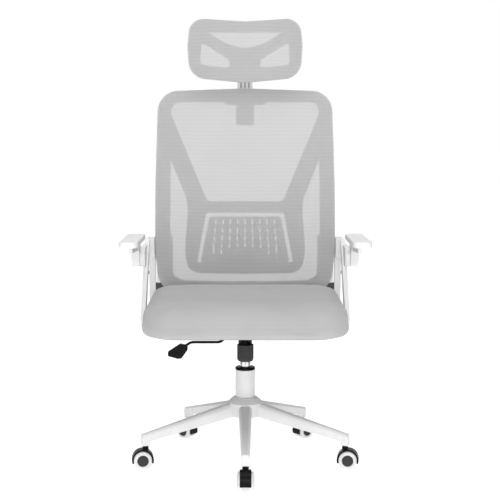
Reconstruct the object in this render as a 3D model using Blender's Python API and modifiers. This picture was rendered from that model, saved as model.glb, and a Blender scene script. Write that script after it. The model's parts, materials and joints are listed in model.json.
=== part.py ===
"""Swivel office chair with a mesh back, a headrest and flip-up arms.

Metres, +Z up. The origin is on the floor, on the gas column's axis. The chair faces -Y, and +X is on the
right of someone who looks at its front. Each sub-part is one closed body in its own named object.
"""
import math

import bmesh
import bpy
from mathutils import Matrix, Vector

GAP = 0.0003            # between touching solids
SMOOTH_DEG = 35         # edges sharper than this stay sharp
CLEAR = 0.01            # how far a cutter runs past what it cuts

# Star base
LEGS = 5
STEM_CIRCLE = 0.260     # caster stems' distance from the column axis
HUB_TOP, HUB_BOTTOM = 0.161, 0.1165
HUB_RADIUS, HUB_NECK_RADIUS = 0.044, 0.034
LEG_START, LEG_END = 0.033, 0.2695
LEG_WIDTH_IN, LEG_WIDTH_OUT = 0.033, 0.0185
LEG_TOP_IN, LEG_TOP_OUT = 0.1500, 0.0850
LEG_LOW_IN, LEG_LOW_OUT = 0.1165, 0.0650
SOCKET_BOTTOM = 0.0575
SOCKET_LENGTH = 0.0195
LEG_WALL = 0.003
LEG_POCKETS = ((0.060, 0.142, 0.019), (0.147, 0.240, 0.013))   # (start, end, solid above the pocket)

# Casters
WHEEL_RADIUS, WHEEL_WIDTH = 0.0225, 0.0133
WHEEL_OFFSET = 0.0127   # a wheel's middle from the caster's middle
CASTER_TRAIL = 0.007    # axle behind the stem
STEM_RADIUS = 0.005
STEM_LOW, STEM_TOP = 0.0330, 0.0790
HOOD_RADIUS, HOOD_WIDTH, HOOD_WEB = 0.0272, 0.0270, 0.0114
WELL_RADIUS = 0.0236
AXLE_RADIUS, AXLE_LENGTH = 0.0030, 0.0340
CASTER_YAW_DEG = (-90.0, -7.0, 38.0, 142.0, 187.0)   # the way each caster trails, from +X

# Gas column
TUBE_RADIUS, TUBE_WALL = 0.0250, 0.0018
TUBE_BOTTOM, TUBE_TOP = 0.1175, 0.2330
CYLINDER_RADIUS = 0.0140
CYLINDER_BOTTOM, CYLINDER_TOP = 0.1330, 0.3090
ROD_RADIUS, PISTON_RADIUS = 0.0050, 0.0126
PIN_RADIUS, PIN_TOP = 0.0040, 0.3175

# Tilt mechanism under the seat
HOUSING_HALF_WIDTH = 0.034
HOUSING_TOP = 0.3445
HOUSING_WALL = 0.003
TILT_Y, TILT_Z = -0.045, 0.3340
TILT_PIN_RADIUS = 0.0040
PLATE_BOTTOM, PLATE_TOP = 0.3465, 0.3497
KNOB_Y = -0.100
KNOB_RADIUS, KNOB_BOTTOM, KNOB_TOP = 0.0202, 0.2730, 0.3150
LEVER_RADIUS = 0.0034
LEVER_PIVOT = Vector((-0.034, 0.0, 0.3215))
LEVER_END_X = 0.012     # the end over the release pin, inside the cylinder's bore when it dips
LEVER_LOW_Z = 0.3020

# Seat
SEAT_HALF_WIDTH = 0.249
SEAT_FRONT, SEAT_REAR = -0.262, 0.165
SEAT_BOTTOM, SEAT_TOP = 0.350, 0.432
SEAT_RADII = (0.075, 0.052)         # front and rear corners, seen from above
SEAT_TOP_EDGE, SEAT_LOW_EDGE = 0.036, 0.026
BOARD_INSET = 0.034
BOARD_RADII = (0.045, 0.030)
BOARD_THICKNESS = 0.0105

# Back
BACK_HALF_WIDTH, BACK_TOP, BACK_BOTTOM = 0.236, 0.945, 0.392
BACK_LUMBAR_Y, BACK_LUMBAR_Z = 0.178, 0.560
BACK_LEAN, BACK_BEND, BACK_WRAP = 0.26, 0.12, 0.026
MESH_THICKNESS = 0.002
FRAME_FRONT, FRAME_THICKNESS = 0.003, 0.013

# Headrest
HEAD_HALF_WIDTH, HEAD_TOP, HEAD_BOTTOM = 0.150, 1.124, 0.960
HEAD_Y, HEAD_MIDDLE_Z = 0.228, 1.045
HEAD_WRAP, HEAD_LEAN = 0.026, 0.10
HEAD_PIVOT_Y, HEAD_PIVOT_Z = 0.2700, 1.0060
POST_HALF_WIDTH, POST_THICKNESS = 0.0205, 0.0090
POST_LEAN = 0.2457      # metres back for each metre up
POST_LOW = 0.8530

# Arms
ARM_PIVOT_Y, ARM_PIVOT_Z = 0.0785, 0.5105
ARM_PAD_X, ARM_PAD_HALF_WIDTH = 0.276, 0.023
ARM_PAD_FRONT, ARM_PAD_REAR = -0.190, 0.050
ARM_PAD_BOTTOM, ARM_PAD_TOP = 0.5580, 0.5730
ARM_PIN_RADIUS = 0.0050

parts = None
cutters = None


# ---------------------------------------------------------------- scene and materials

def clear_scene():
    for thing in list(bpy.data.objects):
        bpy.data.objects.remove(thing, do_unlink=True)


def new_collection(name):
    group = bpy.data.collections.new(name)
    bpy.context.scene.collection.children.link(group)
    return group


def paint(name, colour, roughness, metallic=0.0):
    material = bpy.data.materials.new(name)
    material.use_nodes = True
    shader = material.node_tree.nodes["Principled BSDF"]
    shader.inputs["Base Color"].default_value = (*colour, 1.0)
    shader.inputs["Roughness"].default_value = roughness
    shader.inputs["Metallic"].default_value = metallic
    return material


def white_plastic(name):
    return paint(name, (0.80, 0.80, 0.80), 0.40)


def black_plastic(name):
    return paint(name, (0.020, 0.020, 0.022), 0.50)


def black_steel(name):
    return paint(name, (0.025, 0.025, 0.027), 0.35, 0.6)


def bright_steel(name):
    return paint(name, (0.75, 0.75, 0.76), 0.15, 1.0)


def grey_fabric(name):
    return paint(name, (0.50, 0.50, 0.50), 0.90)


# ---------------------------------------------------------------- objects and modifiers

def add_part(name, mesh, material, at=(0, 0, 0)):
    mesh.name = name
    mesh.shade_smooth()
    mesh.set_sharp_from_angle(angle=math.radians(SMOOTH_DEG))
    part = bpy.data.objects.new(name, mesh)
    part.location = at
    part.data.materials.append(material)
    parts.objects.link(part)
    return part


def add_cutter(name, mesh, at=(0, 0, 0)):
    cutter = bpy.data.objects.new(name, mesh)
    cutter.location = at
    cutter.hide_render = True
    cutter.display_type = "WIRE"
    cutters.objects.link(cutter)
    return cutter


def combine(part, operand, operation):
    change = part.modifiers.new(operation.title() + " " + operand.name, "BOOLEAN")
    change.operation = operation
    change.solver = "EXACT"
    change.object = operand
    return part


def cut(part, mesh, at=None):
    """Take the mesh away from the part. The mesh is in the part's own axes unless a place is given."""
    place = part.location.copy() if at is None else at
    number = len(part.modifiers)
    return combine(part, add_cutter(f"{part.name}_cut_{number}", mesh, place), "DIFFERENCE")


def fuse(part, mesh, at=None):
    place = part.location.copy() if at is None else at
    number = len(part.modifiers)
    return combine(part, add_cutter(f"{part.name}_add_{number}", mesh, place), "UNION")


def keep_inside(part, mesh, at=None):
    place = part.location.copy() if at is None else at
    number = len(part.modifiers)
    return combine(part, add_cutter(f"{part.name}_keep_{number}", mesh, place), "INTERSECT")


def evaluated_mesh(thing):
    """A plain copy of the object's mesh with its modifiers applied, in the object's own axes."""
    graph = bpy.context.evaluated_depsgraph_get()
    mesh = bpy.data.meshes.new_from_object(thing.evaluated_get(graph))
    form = bmesh.new()
    form.from_mesh(mesh)
    bmesh.ops.remove_doubles(form, verts=form.verts[:], dist=0.00001)
    form.to_mesh(mesh)
    form.free()
    return mesh


def take_mesh(thing):
    """The object's evaluated mesh, with the object itself removed."""
    bpy.context.scene.collection.objects.link(thing)
    bpy.context.view_layer.update()
    mesh = evaluated_mesh(thing)
    bpy.data.objects.remove(thing, do_unlink=True)
    return mesh


# ---------------------------------------------------------------- shapes

def to_mesh(form):
    mesh = bpy.data.meshes.new("form")
    form.to_mesh(mesh)
    form.free()
    return mesh


def moved(mesh, matrix):
    mesh.transform(matrix)
    return mesh


def joined(meshes):
    """Several meshes in one, still as separate bodies."""
    form = bmesh.new()
    for mesh in meshes:
        form.from_mesh(mesh)
    return to_mesh(form)


def box(low, high, bevel=0.0, segments=2):
    size = Vector(high) - Vector(low)
    middle = (Vector(high) + Vector(low)) / 2
    form = bmesh.new()
    bmesh.ops.create_cube(form, size=1.0, matrix=Matrix.Translation(middle) @ Matrix.Diagonal((*size, 1)))
    if bevel:
        bmesh.ops.bevel(form, geom=form.edges[:], offset=bevel, segments=segments, profile=0.5,
                        affect="EDGES")
    return to_mesh(form)


def cylinder(radius, length, axis="Z", middle=(0, 0, 0), sides=24):
    turn = {"X": Matrix.Rotation(math.pi / 2, 4, "Y"), "Y": Matrix.Rotation(math.pi / 2, 4, "X"),
            "Z": Matrix.Identity(4)}[axis]
    form = bmesh.new()
    bmesh.ops.create_cone(form, cap_ends=True, segments=sides, radius1=radius, radius2=radius,
                          depth=length, matrix=Matrix.Translation(middle) @ turn)
    return to_mesh(form)


def turned(profile, sides=32, hollow=False):
    """A body turned about Z from (radius, height) points that run down its outer side.

    A hollow one is a ring whose profile closes on itself."""
    mesh = bpy.data.meshes.new("profile")
    edges = [(i, i + 1) for i in range(len(profile) - 1)]
    if hollow:
        edges.append((len(profile) - 1, 0))
    mesh.from_pydata([(radius, 0, height) for radius, height in profile], edges, [])
    lathe = bpy.data.objects.new("lathe", mesh)
    screw = lathe.modifiers.new("Screw", "SCREW")
    screw.axis = "Z"
    screw.steps = sides
    screw.render_steps = sides
    screw.use_merge_vertices = True
    screw.merge_threshold = 0.00001
    return take_mesh(lathe)


def rounded(corners, segments=5):
    """A closed outline through (x, y, radius) corners, with each corner rounded to its radius."""
    outline = []
    for i, (x, y, radius) in enumerate(corners):
        here = Vector((x, y))
        if radius <= 0:
            outline.append(here)
            continue
        before = (Vector(corners[i - 1][:2]) - here).normalized()
        after = (Vector(corners[(i + 1) % len(corners)][:2]) - here).normalized()
        half = math.acos(max(-1.0, min(1.0, before.dot(after)))) / 2
        centre = here + (before + after).normalized() * radius / math.sin(half)
        start = here + before * radius / math.tan(half) - centre
        end = here + after * radius / math.tan(half) - centre
        sweep = math.atan2(start.x * end.y - start.y * end.x, start.dot(end))
        for step in range(segments + 1):
            outline.append(centre + Matrix.Rotation(sweep * step / segments, 2) @ start)
    return outline


def mirrored(half):
    """A closed left-right symmetric outline from the corners of its right half, top to bottom."""
    return half + [(-x, y, radius) for x, y, radius in reversed(half) if x > 0]


def prism(outline, low, high, across="Z"):
    """A flat outline with thickness from low to high.

    Across Z the outline is (x, y), across X it is (y, z), and across Y it is (x, z)."""
    curve = bpy.data.curves.new("outline", "CURVE")
    curve.dimensions = "2D"
    curve.fill_mode = "BOTH"
    curve.extrude = (high - low) / 2
    spline = curve.splines.new("POLY")
    spline.points.add(len(outline) - 1)
    for point, place in zip(spline.points, outline):
        point.co = (place[0], place[1], 0, 1)
    spline.use_cyclic_u = True
    mesh = take_mesh(bpy.data.objects.new("outline", curve))
    middle = (high + low) / 2
    if across == "X":
        turn = Matrix(((0, 0, 1, middle), (1, 0, 0, 0), (0, 1, 0, 0), (0, 0, 0, 1)))
    elif across == "Y":
        turn = Matrix(((1, 0, 0, 0), (0, 0, -1, middle), (0, 1, 0, 0), (0, 0, 0, 1)))
    else:
        turn = Matrix.Translation((0, 0, middle))
    return moved(mesh, turn)


def tube(points, radius, bevel_resolution=3):
    """A round bar along a chain of points, with flat ends."""
    curve = bpy.data.curves.new("bar", "CURVE")
    curve.dimensions = "3D"
    curve.bevel_depth = radius
    curve.bevel_resolution = bevel_resolution
    curve.use_fill_caps = True
    spline = curve.splines.new("POLY")
    spline.points.add(len(points) - 1)
    for point, place in zip(spline.points, points):
        point.co = (*place, 1)
    return take_mesh(bpy.data.objects.new("bar", curve))


def bent_sheet(half_width, low, high, surface, depth, columns, rows):
    """An upright slab whose front follows y = surface(x, z), with its thickness behind that front."""
    form = bmesh.new()
    bmesh.ops.create_grid(form, x_segments=columns, y_segments=rows, size=0.5)
    for vertex in form.verts:
        x = vertex.co.x * 2 * half_width
        z = low + (vertex.co.y + 0.5) * (high - low)
        vertex.co = (x, surface(x, z), z)
    slab = bpy.data.objects.new("slab", to_mesh(form))
    shell = slab.modifiers.new("Solidify", "SOLIDIFY")
    shell.thickness = depth
    shell.offset = -1.0
    return take_mesh(slab)


def loft(sections):
    """A closed body through a row of sections that have the same number of points."""
    form = bmesh.new()
    rings = [[form.verts.new(point) for point in section] for section in sections]
    for ring, following in zip(rings, rings[1:]):
        for i in range(len(ring)):
            j = (i + 1) % len(ring)
            form.faces.new((ring[i], ring[j], following[j], following[i]))
    form.faces.new(reversed(rings[0]))
    form.faces.new(rings[-1])
    bmesh.ops.recalc_face_normals(form, faces=form.faces[:])
    return to_mesh(form)


def softened(points, reach, steps=4):
    """A chain of 3-D points whose inner corners are rounded over the given reach."""
    chain = [Vector(points[0])]
    for before, corner, after in zip(points, points[1:], points[2:]):
        corner = Vector(corner)
        start = corner + (Vector(before) - corner).normalized() * reach
        end = corner + (Vector(after) - corner).normalized() * reach
        for step in range(steps + 1):
            t = step / steps
            chain.append(start * (1 - t) ** 2 + corner * 2 * t * (1 - t) + end * t ** 2)
    chain.append(Vector(points[-1]))
    return chain


def solved(mesh, added=(), taken=()):
    """The mesh after Boolean unions and differences, for a shape that several objects share."""
    body = bpy.data.objects.new("body", mesh)
    tools = []
    for operation, shapes in (("UNION", added), ("DIFFERENCE", taken)):
        for shape in shapes:
            tool = bpy.data.objects.new("tool", shape)
            bpy.context.scene.collection.objects.link(tool)
            tools.append(tool)
            combine(body, tool, operation)
    mesh = take_mesh(body)
    for tool in tools:
        bpy.data.objects.remove(tool, do_unlink=True)
    return mesh


# ---------------------------------------------------------------- star base

def leg_block(start, end, inset, top_drop, low_drop):
    """A tapered bar along +X that follows a leg between two distances from the column axis."""
    sections = []
    for distance in (start, end):
        t = (distance - LEG_START) / (LEG_END - LEG_START)
        half = (LEG_WIDTH_IN + (LEG_WIDTH_OUT - LEG_WIDTH_IN) * t) / 2 - inset
        top = LEG_TOP_IN + (LEG_TOP_OUT - LEG_TOP_IN) * t - top_drop
        low = LEG_LOW_IN + (LEG_LOW_OUT - LEG_LOW_IN) * t - low_drop
        shoulder = top - 0.25 * (top - low)
        sections.append([(distance, -half, low), (distance, half, low), (distance, half, shoulder),
                         (distance, 0.62 * half, top), (distance, -0.62 * half, top),
                         (distance, -half, shoulder)])
    return loft(sections)


def star_base():
    """The five-legged nylon base: a hub, ribbed hollow legs and a stem socket under each tip."""
    hub = turned([(0.0300, HUB_TOP), (HUB_NECK_RADIUS, HUB_TOP - 0.0012), (HUB_RADIUS, 0.1495),
                  (HUB_RADIUS, HUB_BOTTOM + 0.001), (HUB_RADIUS - 0.001, HUB_BOTTOM),
                  (TUBE_RADIUS + GAP, HUB_BOTTOM), (TUBE_RADIUS + GAP, HUB_TOP)], 30, hollow=True)
    boot_start = STEM_CIRCLE - SOCKET_LENGTH / 2
    boot = box((boot_start, -0.0095, SOCKET_BOTTOM),
               (LEG_END + GAP, 0.0095, LEG_TOP_OUT - 0.0015), 0.0015, 1)
    leg = solved(leg_block(LEG_START, LEG_END, 0, 0, 0), added=[boot])
    pockets = [leg_block(start, end, LEG_WALL, solid, CLEAR) for start, end, solid in LEG_POCKETS]
    socket = cylinder(STEM_RADIUS + GAP, STEM_TOP + GAP - 0.040, "Z",
                      (STEM_CIRCLE, 0, (STEM_TOP + GAP + 0.040) / 2), 16)
    turns = [Matrix.Rotation(math.radians(-90 + 360 / LEGS * i), 4, "Z") for i in range(LEGS)]
    legs = joined([moved(leg.copy(), turn) for turn in turns])
    hollows = joined([moved(shape.copy(), turn) for turn in turns for shape in pockets + [socket]])
    base = add_part("star_base", hub, white_plastic("star_base"))
    fuse(base, legs)
    cut(base, hollows)


# ---------------------------------------------------------------- casters

def caster_stem_mesh():
    return turned([(0, STEM_TOP), (STEM_RADIUS - 0.001, STEM_TOP), (STEM_RADIUS, STEM_TOP - 0.001),
                   (STEM_RADIUS, 0.0550), (0.0036, 0.0550), (0.0036, STEM_LOW), (0, STEM_LOW)], 16)


def caster_hood_mesh():
    """A fender over both wheels, with a web between them that carries the axle and the stem."""
    start, sweep, steps = math.radians(-17), math.radians(214), 13
    arc = [start + sweep * i / steps for i in range(steps + 1)]
    outline = [(CASTER_TRAIL + HOOD_RADIUS * math.cos(a), WHEEL_RADIUS + HOOD_RADIUS * math.sin(a))
               for a in arc]
    body = prism(outline, -HOOD_WIDTH / 2, HOOD_WIDTH / 2, "Y")
    well_length = HOOD_WIDTH
    wells = [cylinder(WELL_RADIUS, well_length, "Y",
                      (CASTER_TRAIL, side * (HOOD_WEB + well_length) / 2, WHEEL_RADIUS), 20)
             for side in (-1, 1)]
    collar = cylinder(0.0078, 0.0105, "Z", (0, 0, 0.0492), 14)
    stem_bore = cylinder(0.0039, 0.0300, "Z", (0, 0, STEM_LOW - GAP + 0.0150), 16)
    axle_bore = cylinder(AXLE_RADIUS + GAP, 0.040, "Y", (CASTER_TRAIL, 0, WHEEL_RADIUS), 16)
    return solved(body, added=[collar], taken=[joined(wells), stem_bore, axle_bore])


def caster_wheel_mesh():
    """A wheel about Z, with its inner face at height 0 and a blind bore for the axle."""
    bore = AXLE_RADIUS + GAP
    return turned([(0, WHEEL_WIDTH), (0.0200, WHEEL_WIDTH), (WHEEL_RADIUS, WHEEL_WIDTH - 0.0030),
                   (WHEEL_RADIUS, 0.0020), (0.0210, 0), (bore, 0), (bore, 0.0115), (0, 0.0115)], 20)


def casters():
    stem, hood, wheel = caster_stem_mesh(), caster_hood_mesh(), caster_wheel_mesh()
    axle = cylinder(AXLE_RADIUS, AXLE_LENGTH, "Y", (0, 0, 0), 12)
    inner = WHEEL_OFFSET - WHEEL_WIDTH / 2
    for i in range(LEGS):
        bearing = math.radians(-90 + 360 / LEGS * i)
        place = Vector((STEM_CIRCLE * math.cos(bearing), STEM_CIRCLE * math.sin(bearing), 0))
        yaw = math.radians(CASTER_YAW_DEG[i])
        centre = place + Vector((CASTER_TRAIL * math.cos(yaw), CASTER_TRAIL * math.sin(yaw), WHEEL_RADIUS))
        across = Vector((-math.sin(yaw), math.cos(yaw), 0))
        name = f"caster_{i + 1}"
        add_part(f"{name}_stem", stem.copy(), black_steel(f"{name}_stem"), place)
        cover = add_part(f"{name}_hood", hood.copy(), black_plastic(f"{name}_hood"), place)
        cover.rotation_euler = (0, 0, yaw)
        shaft = add_part(f"{name}_axle", axle.copy(), bright_steel(f"{name}_axle"), centre)
        shaft.rotation_euler = (0, 0, yaw)
        for side, label in ((1, "left"), (-1, "right")):
            tyre = add_part(f"{name}_wheel_{label}", wheel.copy(), white_plastic(f"{name}_wheel_{label}"),
                            centre + across * inner * side)
            tyre.rotation_euler = (-side * math.pi / 2, 0, yaw)


# ---------------------------------------------------------------- gas column

def gas_column():
    bore = TUBE_RADIUS - TUBE_WALL
    plate_low, plate_high, rod_hole = 0.1205, 0.1235, ROD_RADIUS + 0.0004
    tube_mesh = turned([(TUBE_RADIUS - 0.0006, TUBE_TOP), (TUBE_RADIUS, TUBE_TOP - 0.0006),
                        (TUBE_RADIUS, TUBE_BOTTOM), (bore, TUBE_BOTTOM), (bore, plate_low),
                        (rod_hole, plate_low), (rod_hole, plate_high), (bore, plate_high),
                        (bore, TUBE_TOP)], 28, hollow=True)
    add_part("column_tube", tube_mesh, white_plastic("column_tube"))

    sleeve, flange = bore - GAP, TUBE_RADIUS + 0.0002
    slide = CYLINDER_RADIUS + GAP
    add_part("column_bushing", turned([
        (0.0170, 0.2412), (0.0235, 0.2400), (flange, 0.2378), (flange, TUBE_TOP + GAP),
        (sleeve, TUBE_TOP + GAP), (sleeve, 0.1850), (slide, 0.1850), (slide, 0.2402)], 28, hollow=True),
        black_plastic("column_bushing"))

    add_part("thrust_bearing", turned([
        (0.0118, 0.1278), (0.0118, plate_high + GAP), (rod_hole, plate_high + GAP), (rod_hole, 0.1278)],
        24, hollow=True), bright_steel("thrust_bearing"))

    add_part("retaining_clip", turned([
        (0.0085, plate_low - GAP), (0.0085, 0.1188), (rod_hole, 0.1188), (rod_hole, plate_low - GAP)],
        24, hollow=True), bright_steel("retaining_clip"))

    add_part("piston_rod", turned([
        (0, 0.2915), (PISTON_RADIUS, 0.2915), (PISTON_RADIUS, 0.2800), (ROD_RADIUS, 0.2800),
        (ROD_RADIUS, 0.1310), (0.0095, 0.1310), (0.0095, 0.1282), (ROD_RADIUS, 0.1282),
        (ROD_RADIUS, 0.1178), (0, 0.1178)], 18), bright_steel("piston_rod"))

    wall, low = CYLINDER_RADIUS - 0.0010, CYLINDER_BOTTOM
    pin_bore = PIN_RADIUS + GAP
    add_part("gas_cylinder", turned([
        (0, 0.2970), (pin_bore, 0.2970), (pin_bore, CYLINDER_TOP), (CYLINDER_RADIUS - 0.0008, CYLINDER_TOP),
        (CYLINDER_RADIUS, CYLINDER_TOP - 0.0015), (CYLINDER_RADIUS, low + 0.0010),
        (CYLINDER_RADIUS - 0.0010, low), (rod_hole, low), (rod_hole, low + 0.0060), (wall, low + 0.0060),
        (wall, 0.2940), (0, 0.2940)], 24), bright_steel("gas_cylinder"))

    add_part("release_pin", turned([
        (0, PIN_TOP), (PIN_RADIUS - 0.0008, PIN_TOP), (PIN_RADIUS, PIN_TOP - 0.0008),
        (PIN_RADIUS, 0.3015), (0, 0.3015)], 16), bright_steel("release_pin"))


# ---------------------------------------------------------------- tilt mechanism

def mechanism_housing():
    """A pressed steel pan with a socket for the gas cylinder. Its walls fall away behind the tilt pin."""
    half, wall = HOUSING_HALF_WIDTH, HOUSING_WALL
    outside = rounded([(-0.122, HOUSING_TOP, 0), (-0.122, 0.3355, 0.002), (-0.080, 0.3345, 0.004),
                       (-0.062, 0.3225, 0.004), (-0.008, 0.3125, 0.006), (0.028, 0.3125, 0.003),
                       (0.028, 0.3235, 0), (-0.040, HOUSING_TOP, 0)], 2)
    inside = [(-0.119, HOUSING_TOP + CLEAR), (-0.119, 0.3385), (-0.0785, 0.3375), (-0.060, 0.3255),
              (-0.0075, 0.3155), (0.025, 0.3155), (0.025, HOUSING_TOP + CLEAR)]
    part = add_part("mechanism_housing", prism(outside, -half, half, "X"),
                    black_steel("mechanism_housing"))
    cut(part, prism(inside, -half + wall, half - wall, "X"))
    fuse(part, cylinder(0.0172, 0.0350, "Z", (0, 0, 0.2975), 32))
    holes = [cylinder(CYLINDER_RADIUS + GAP, 0.0600, "Z", (0, 0, 0.3000), 32),
             cylinder(0.0095, 0.0200, "Z", (0, KNOB_Y, 0.3370), 20),
             cylinder(TILT_PIN_RADIUS + GAP, 0.1000, "X", (0, TILT_Y, TILT_Z), 16),
             cylinder(0.0062, 0.0120, "X", LEVER_PIVOT, 16)]
    for hole in holes:
        cut(part, hole)


def tilt_plate():
    """The seat plate: a flat top with two ears that hang outside the pan and hold the tilt pin."""
    ear_in, ear_out = HOUSING_HALF_WIDTH + 0.0005, HOUSING_HALF_WIDTH + 0.0038
    ear = rounded([(-0.064, PLATE_TOP - 0.001, 0), (-0.056, 0.3275, 0.006), (-0.034, 0.3275, 0.006),
                   (-0.026, PLATE_TOP - 0.001, 0)], 4)
    part = add_part("tilt_plate", box((-0.085, -0.118, PLATE_BOTTOM), (0.085, 0.115, PLATE_TOP)),
                    black_steel("tilt_plate"), (0, TILT_Y, TILT_Z))
    part.data.transform(Matrix.Translation((0, -TILT_Y, -TILT_Z)))
    ears = joined([prism(ear, ear_in, ear_out, "X"), prism(ear, -ear_out, -ear_in, "X")])
    fuse(part, ears, (0, 0, 0))
    cut(part, cylinder(TILT_PIN_RADIUS + GAP, 0.1000, "X", (0, TILT_Y, TILT_Z), 16), (0, 0, 0))
    cut(part, cylinder(0.0035 + GAP, 0.0200, "Z", (0, KNOB_Y, PLATE_TOP), 16), (0, 0, 0))


def tension_parts():
    """The knob with its bolt, and the coil spring between the knob and the pan."""
    add_part("tension_knob", turned([
        (0, PLATE_TOP - GAP), (0.0035, PLATE_TOP - GAP), (0.0035, 0.2835), (0.0172, 0.2835),
        (0.0172, KNOB_TOP), (KNOB_RADIUS - 0.0008, KNOB_TOP), (KNOB_RADIUS, KNOB_TOP - 0.0012),
        (KNOB_RADIUS, 0.2775), (0.0175, 0.2736), (0.0150, KNOB_BOTTOM), (0, KNOB_BOTTOM)], 28),
        black_plastic("tension_knob"), (0, KNOB_Y, 0))
    coil_radius, wire, low, high, turns, per_turn = 0.0138, 0.0021, 0.2862, 0.3328, 6, 10
    count = turns * per_turn
    points = [(coil_radius * math.cos(math.tau * i / per_turn),
               coil_radius * math.sin(math.tau * i / per_turn),
               low + (high - low) * i / count) for i in range(count + 1)]
    add_part("tension_spring", tube(points, wire, 1), black_steel("tension_spring"), (0, KNOB_Y, 0))


def lever_route():
    x, y, z = LEVER_PIVOT
    return [(LEVER_END_X, y, z), (x - 0.0085, y, z), (-0.062, y, LEVER_LOW_Z), (-0.138, y, LEVER_LOW_Z),
            (-0.152, y, 0.2915)]


def lever():
    """The bent bar that presses the gas cylinder's pin, its pivot bead and its moulded paddle."""
    x, y, z = LEVER_PIVOT
    bead = turned([(0.0045, 0.0035), (0.0056, 0.0015), (0.0056, -0.0015), (0.0045, -0.0035),
                   (LEVER_RADIUS + GAP, -0.0035), (LEVER_RADIUS + GAP, 0.0035)], 20, hollow=True)
    add_part("lever_bush", moved(bead, Matrix.Rotation(math.pi / 2, 4, "Y")),
             black_plastic("lever_bush"), LEVER_PIVOT)
    rod = tube(softened(lever_route(), 0.008), LEVER_RADIUS, 3)
    add_part("lever_rod", moved(rod, Matrix.Translation(-LEVER_PIVOT)), black_steel("lever_rod"),
             LEVER_PIVOT)
    outline = rounded([(-0.1530, 0.2960, 0.003), (-0.1641, 0.2985, 0.004), (-0.1952, 0.2780, 0.004),
                       (-0.1952, 0.2670, 0.004), (-0.1702, 0.2600, 0.004), (-0.1608, 0.2610, 0.004),
                       (-0.1452, 0.2834, 0.004), (-0.1452, 0.2966, 0.003)], 3)
    grip = prism(outline, -0.0055, 0.0055, "Y")
    paddle = add_part("lever_paddle", moved(grip, Matrix.Translation(-LEVER_PIVOT)),
                      black_plastic("lever_paddle"), LEVER_PIVOT)
    cut(paddle, tube(softened(lever_route(), 0.008)[-8:], LEVER_RADIUS + GAP, 3), (0, 0, 0))


def mechanism():
    mechanism_housing()
    tilt_plate()
    add_part("tilt_pin", cylinder(TILT_PIN_RADIUS, 0.0790, "X", (0, 0, 0), 16), bright_steel("tilt_pin"),
             (0, TILT_Y, TILT_Z))
    tension_parts()
    lever()


# ---------------------------------------------------------------- seat

def seat_outline(inset, front_radius, rear_radius):
    return rounded([(SEAT_HALF_WIDTH - inset, SEAT_REAR - inset, rear_radius),
                    (SEAT_HALF_WIDTH - inset, SEAT_FRONT + inset, front_radius),
                    (-SEAT_HALF_WIDTH + inset, SEAT_FRONT + inset, front_radius),
                    (-SEAT_HALF_WIDTH + inset, SEAT_REAR - inset, rear_radius)], 6)


def seat():
    """An upholstered foam cushion that closes over the edge of its board."""
    board_top = SEAT_BOTTOM + BOARD_THICKNESS
    add_part("seat_board", prism(seat_outline(BOARD_INSET, *BOARD_RADII), SEAT_BOTTOM, board_top),
             black_plastic("seat_board"))
    form = bmesh.new()
    form.from_mesh(prism(seat_outline(0, *SEAT_RADII), SEAT_BOTTOM, SEAT_TOP))
    for height, width, steps in ((SEAT_TOP, SEAT_TOP_EDGE, 5), (SEAT_BOTTOM, SEAT_LOW_EDGE, 3)):
        rim = [edge for edge in form.edges
               if edge.calc_face_angle(0) > 1.0 and all(abs(v.co.z - height) < 0.0001 for v in edge.verts)]
        bmesh.ops.bevel(form, geom=rim, offset=width, segments=steps, profile=0.5, affect="EDGES",
                        clamp_overlap=True)
    cushion = add_part("seat_cushion", to_mesh(form), grey_fabric("seat_cushion"))
    recess = seat_outline(BOARD_INSET - 2 * GAP, *BOARD_RADII)
    cut(cushion, prism(recess, SEAT_BOTTOM - CLEAR, board_top + GAP))


# ---------------------------------------------------------------- back

def back_y(x, z):
    """The front of the back mesh: forward at the lumbar, leaning back above it, wrapped at the sides."""
    lean = BACK_LEAN * (math.hypot(z - BACK_LUMBAR_Z, BACK_BEND) - BACK_BEND)
    return BACK_LUMBAR_Y + lean - BACK_WRAP * (x / BACK_HALF_WIDTH) ** 2


def back_outline(scale=1.0):
    half = [(0, 0.9460, 0), (0.2310, 0.9375, 0.056), (0.2365, 0.7000, 0), (0.2375, 0.5200, 0),
            (0.2260, BACK_BOTTOM, 0.072)]
    corners = [(x * scale, z, radius) for x, z, radius in mirrored(half)]
    return rounded(corners, 6)


def post_front(z):
    """The front of the headrest's post, just behind the frame and along its slope."""
    behind_frame = back_y(0, POST_LOW) + FRAME_FRONT + FRAME_THICKNESS + 0.0022
    return behind_frame + (z - POST_LOW) * POST_LEAN


def back_slab(depth, front):
    return bent_sheet(BACK_HALF_WIDTH + 0.004, BACK_BOTTOM - 0.008, BACK_TOP + 0.008,
                      lambda x, z: back_y(x, z) + front, depth, 10, 14)


def upper_window():
    half = [(0.0235, 0.8470, 0.004), (0.0235, 0.9010, 0.002), (0.0520, 0.9010, 0.002),
            (0.0580, 0.9080, 0.003), (0.1970, 0.9080, 0.022), (0.1955, 0.8740, 0.012),
            (0.1000, 0.6460, 0.014)]
    return rounded(mirrored(half)[::-1], 4)


def lower_window():
    """The U-shaped opening between the side bars, the bottom bar and the lumbar yoke."""
    outer = [(0.1965, 0.7570, 0), (0.1976, 0.5570, 0), (0.1970, 0.4550, 0.022),
             (0.1690, 0.4350, 0.045), (0.0, 0.4280, 0)]
    inner = [(0.0, 0.4520, 0), (0.1280, 0.4550, 0.045), (0.1520, 0.4690, 0.030), (0.1590, 0.5150, 0.02),
             (0.1515, 0.6200, 0.02), (0.1540, 0.6520, 0.01)]
    left_outer = [(-x, z, radius) for x, z, radius in outer[-2::-1]]
    left_inner = [(-x, z, radius) for x, z, radius in inner[:0:-1]]
    return rounded(outer + left_outer + left_inner + inner, 4)


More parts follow.
